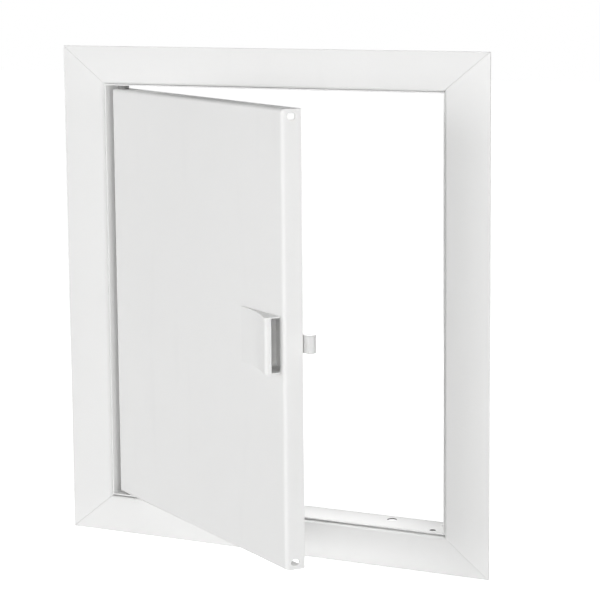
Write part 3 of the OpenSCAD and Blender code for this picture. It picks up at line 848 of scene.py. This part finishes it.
# %% Rivets
rivet_low, rivet_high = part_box("corner_rivets")
sill_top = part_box("sill")[1].z
HEAD_R, HEAD_H, SHANK_R = 3.2, 1.0, 1.6
tail_z = (rivet_low.z - sill_top) / MM
dome = [(HEAD_R * math.cos(t), HEAD_H * math.sin(t)) for t in (math.radians(a) for a in range(0, 70, 8))]
rivet_profile = (
    [(0, 0.55), (0.5, 0.5), (0.62, 0.3), (0.95, 0.3), (1.0, 0.8), (1.08, HEAD_H)]
    + [(r, z) for r, z in reversed(dome) if r > 1.15]
    + [(SHANK_R, 0), (SHANK_R, -1.4), (1.9, -1.42), (2.2, -1.7), (2.2, tail_z + 0.5), (1.9, tail_z + 0.12)]
    + [(1.1, tail_z), (0, tail_z)]
)
rivets = follow_rule(
    "corner_rivets_set", turned("rivet", rivet_profile), set_out,
    {
        "Columns": 2, "Width": 2 * (rivet_high.x - HEAD_R * MM), "Height": -2 * sill_top,
        "Depth": (rivet_low.y + rivet_high.y) / 2, "Material": finishes[slot_of["corner_rivets"]],
    },
)
shade(rivets.data)
hang(rivets, "corner_rivets")

# %% [markdown]
# ## Weld buttons
# The end lengths of the flange stand a slit away from the head and the sill, and three projection welds bridge
# that slit at each end. Each is a squat button that bulges where the metal was pressed out.

# %% Welds
SLIT, WELD_R, WELD_SPAN, WELD_DEPTH = 0.6, 2.5, 120.0, 7.0
weld_profile = [
    (0, -0.1), (WELD_R, -0.1), (WELD_R + 0.1, 0.1), (WELD_R + 0.16, SLIT / 2), (WELD_R + 0.1, SLIT - 0.1),
    (WELD_R, SLIT + 0.1), (0, SLIT + 0.1),
]
welds = follow_rule(
    "weld_buttons", turned("weld", weld_profile), set_out,
    {
        "Columns": 3, "Width": WELD_SPAN * MM, "Height": 2 * inner[1], "Depth": face_y + WELD_DEPTH * MM,
        "Material": finishes["white_coat"],
    },
)
shade(welds.data)
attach(welds, "frame")
print(welds.name, len(welds.data.polygons), "faces")

# %% [markdown]
# ## Rows behind the door
# The nuts on the studs and the screws in the tongue are pairs, so a second small tree sets a shape out in a row.
# The nut is a hexagon with a cone cut off each corner: along every direction its side is lower where the hexagon
# reaches further out. The screw is turned, and a cross is then cut into its head with a Boolean modifier.

# %% Rule for a row
row, start, end = node_rule("set_out_in_row", [("Count", "Int"), ("First", "Vector"), ("Step", "Vector")])
line = add_node(row, "GeometryNodeMeshLine")
copies = add_node(row, "GeometryNodeInstanceOnPoints")
wire(
    row,
    (start.outputs["Count"], line.inputs["Count"]),
    (start.outputs["First"], line.inputs["Start Location"]),
    (start.outputs["Step"], line.inputs["Offset"]),
    (line.outputs["Mesh"], copies.inputs["Points"]),
    (start.outputs["Geometry"], copies.inputs["Instance"]),
)
close_rule(row, start, end, copies.outputs["Instances"])
to_depth = Matrix.Rotation(math.radians(-90), 4, "X")
print("rule:", row.name)

# %% Nuts
nut_low, nut_high = shut_box("housing_nuts")
NUT_R, BORE_R, NUT_STEPS = 3.15, 1.5, 72
nut_h = (nut_high.y - nut_low.y) / MM
flat_r = NUT_R * math.cos(math.pi / 6)


def hex_reach(angle):
    """How far the hexagon reaches out along a direction."""
    return flat_r / math.cos((angle + math.pi / 6) % (math.pi / 3) - math.pi / 6)


work = bmesh.new()
rings = [[] for _ in range(8)]
for i in range(NUT_STEPS):
    angle = 2 * math.pi * i / NUT_STEPS
    reach = hex_reach(angle + math.pi / 6)
    drop = (reach - flat_r) * 0.58 + 0.04
    profile = [
        (BORE_R, 0.3), (BORE_R + 0.3, 0), (flat_r - 0.05, 0), (reach, drop), (reach, nut_h - drop),
        (flat_r - 0.05, nut_h), (BORE_R + 0.3, nut_h), (BORE_R, nut_h - 0.3),
    ]
    for ring, (r, z) in zip(rings, profile):
        ring.append(work.verts.new((r * MM * math.cos(angle), r * MM * math.sin(angle), z * MM)))
for low, high in zip(rings, rings[1:] + rings[:1]):
    for i in range(NUT_STEPS):
        after = (i + 1) % NUT_STEPS
        work.faces.new((low[i], low[after], high[after], high[i]))
bmesh.ops.recalc_face_normals(work, faces=work.faces)
nut_mesh = bpy.data.meshes.new("nut")
work.to_mesh(nut_mesh)
work.free()
nut_mesh.transform(to_depth)
nut_reach = (nut_high.z - nut_low.z) / 2 - flat_r * MM
nuts = follow_rule(
    "housing_nuts_pair", nut_mesh, row,
    {
        "Count": 2,
        "First": ((nut_low.x + nut_high.x) / 2, nut_low.y, (nut_low.z + nut_high.z) / 2 - nut_reach),
        "Step": (0, 0, 2 * nut_reach), "Material": finishes["zinc_steel"],
    },
)
nuts.data.transform(open_turn)
shade(nuts.data, 25)
hang(nuts, "housing_nuts")

# %% Screws
screw_low, screw_high = shut_box("latch_screws")
SCREW_R, CAP_R, CAP_H = 1.1, 2.2, 1.4
CROSS_W, CROSS_D = 0.42, 1.4
seat = screw_high.y - CAP_H * MM
deep = (screw_low.y - seat) / MM
screw_profile = [
    (0, deep), (SCREW_R * 0.6, deep), (SCREW_R, deep + 0.5), (SCREW_R, 0), (2.0, 0), (CAP_R, 0.15), (CAP_R, 0.6),
    (2.05, 0.98), (1.7, 1.24), (1.1, CAP_H - 0.04), (0, CAP_H),
]
screw = new_piece("screw", turned("screw", screw_profile))
cross = bmesh.new()
for turn in (0, math.pi / 2):
    made = bmesh.ops.create_cube(cross, size=1.0)["verts"]
    for v in made:
        wide = 1.25 if v.co.z > 0 else 0.75
        v.co = Vector((v.co.x * 2 * wide, v.co.y * CROSS_W, v.co.z * CROSS_D + CAP_H + 0.05)) * MM
    bmesh.ops.rotate(cross, verts=made, cent=(0, 0, 0), matrix=Matrix.Rotation(turn, 3, "Z"))
cross_mesh = bpy.data.meshes.new("cross")
cross.to_mesh(cross_mesh)
cross.free()
cutter = new_piece("cross", cross_mesh)
recess = screw.modifiers.new("recess", "BOOLEAN")
recess.object, recess.operation, recess.use_self = cutter, "DIFFERENCE", True
screw_mesh = evaluated_mesh(screw)
for spare in (screw, cutter):
    bpy.data.objects.remove(spare)
screw_mesh.transform(to_depth)
screw_step = (screw_high.x - screw_low.x) - 2 * CAP_R * MM
screws = follow_rule(
    "latch_screws_pair", screw_mesh, row,
    {
        "Count": 2, "First": (screw_low.x + CAP_R * MM, seat, (screw_low.z + screw_high.z) / 2),
        "Step": (screw_step, 0, 0), "Material": finishes["zinc_steel"],
    },
)
screws.data.transform(open_turn)
shade(screws.data)
hang(screws, "latch_screws")

# %% [markdown]
# ## The return spring
# The spring is wire wound on a helix whose last turns lie against each other, so that its ends sit flat. It could be
# a Screw modifier on a circle, but that gives one even pitch. The tree below takes Blender's spiral curve, moves its
# points along the axis with a curve that is flat at both ends, and sweeps the wire along it. In use the slider
# pushes one end towards the other.

# %% Rule for the coil
coil, start, end = node_rule(
    "closed_end_coil", [("Turns", "Float"), ("Coil Radius", "Float"), ("Wire Radius", "Float"), ("Length", "Float")]
)
spiral = add_node(coil, "GeometryNodeCurveSpiral")
spiral.inputs["Resolution"].default_value = 36
spiral.inputs["Height"].default_value = 1.0
place = add_node(coil, "GeometryNodeInputPosition")
xyz = add_node(coil, "ShaderNodeSeparateXYZ")
ends = add_node(coil, "ShaderNodeFloatCurve")
bend = ends.mapping.curves[0]
for x, y in ((0.12, 0.03), (0.2, 0.1), (0.8, 0.9), (0.88, 0.97)):
    bend.points.new(x, y)
for point in bend.points:
    point.handle_type = "VECTOR"
ends.mapping.update()
stretch = add_node(coil, "ShaderNodeMath", operation="MULTIPLY")
rebuilt = add_node(coil, "ShaderNodeCombineXYZ")
wind = add_node(coil, "GeometryNodeSetPosition")
wire_ring = add_node(coil, "GeometryNodeCurvePrimitiveCircle", mode="RADIUS")
wire_ring.inputs["Resolution"].default_value = 12
sweep = add_node(coil, "GeometryNodeCurveToMesh")
sweep.inputs["Fill Caps"].default_value = True
wire(
    coil,
    (start.outputs["Turns"], spiral.inputs["Rotations"]),
    (start.outputs["Coil Radius"], spiral.inputs["Start Radius"]),
    (start.outputs["Coil Radius"], spiral.inputs["End Radius"]),
    (place.outputs["Position"], xyz.inputs[0]),
    (xyz.outputs["X"], rebuilt.inputs["X"]),
    (xyz.outputs["Y"], rebuilt.inputs["Y"]),
    (xyz.outputs["Z"], ends.inputs["Value"]),
    (ends.outputs["Value"], stretch.inputs[0]),
    (start.outputs["Length"], stretch.inputs[1]),
    (stretch.outputs[0], rebuilt.inputs["Z"]),
    (spiral.outputs["Curve"], wind.inputs["Geometry"]),
    (rebuilt.outputs[0], wind.inputs["Position"]),
    (start.outputs["Wire Radius"], wire_ring.inputs["Radius"]),
    (wind.outputs["Geometry"], sweep.inputs["Curve"]),
    (wire_ring.outputs["Curve"], sweep.inputs["Profile Curve"]),
)
close_rule(coil, start, end, sweep.outputs["Mesh"])
print("rule:", coil.name, "with", len(coil.nodes), "nodes")

# %% Spring
spring_low, spring_high = shut_box("latch_spring")
WIRE_R = 0.3 * MM
spring_len = spring_high.x - spring_low.x
spring_mid = (spring_low + spring_high) / 2
spring = follow_rule(
    "return_spring", bpy.data.meshes.new("spring_start"), coil,
    {
        "Turns": 13.0, "Coil Radius": (spring_high.z - spring_low.z) / 2 - WIRE_R, "Wire Radius": WIRE_R,
        "Length": spring_len - 2 * WIRE_R, "Material": finishes["spring_steel"],
    },
)
lay_down = Matrix.Rotation(math.pi / 2, 4, "Y")
to_seat = Matrix.Translation((spring_low.x + WIRE_R, spring_mid.y, spring_mid.z))
spring.data.transform(open_turn @ to_seat @ lay_down)
shade(spring.data, 60)
hang(spring, "latch_spring")
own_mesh(spring)

# %% [markdown]
# ## Hinge pins and bushes
# The pins and bushes sit inside the slits at the hinge. Their solids have the right shape as they are, so they
# stay and only get their finish.

# %% Pins and bushes
for node in ("hinge_pin_top", "hinge_pin_bottom", "hinge_bush_top", "hinge_bush_bottom"):
    solids[node].material_slots[0].material = finishes[slot_of[node]]
    print(node, "has", solids[node].material_slots[0].material.name)
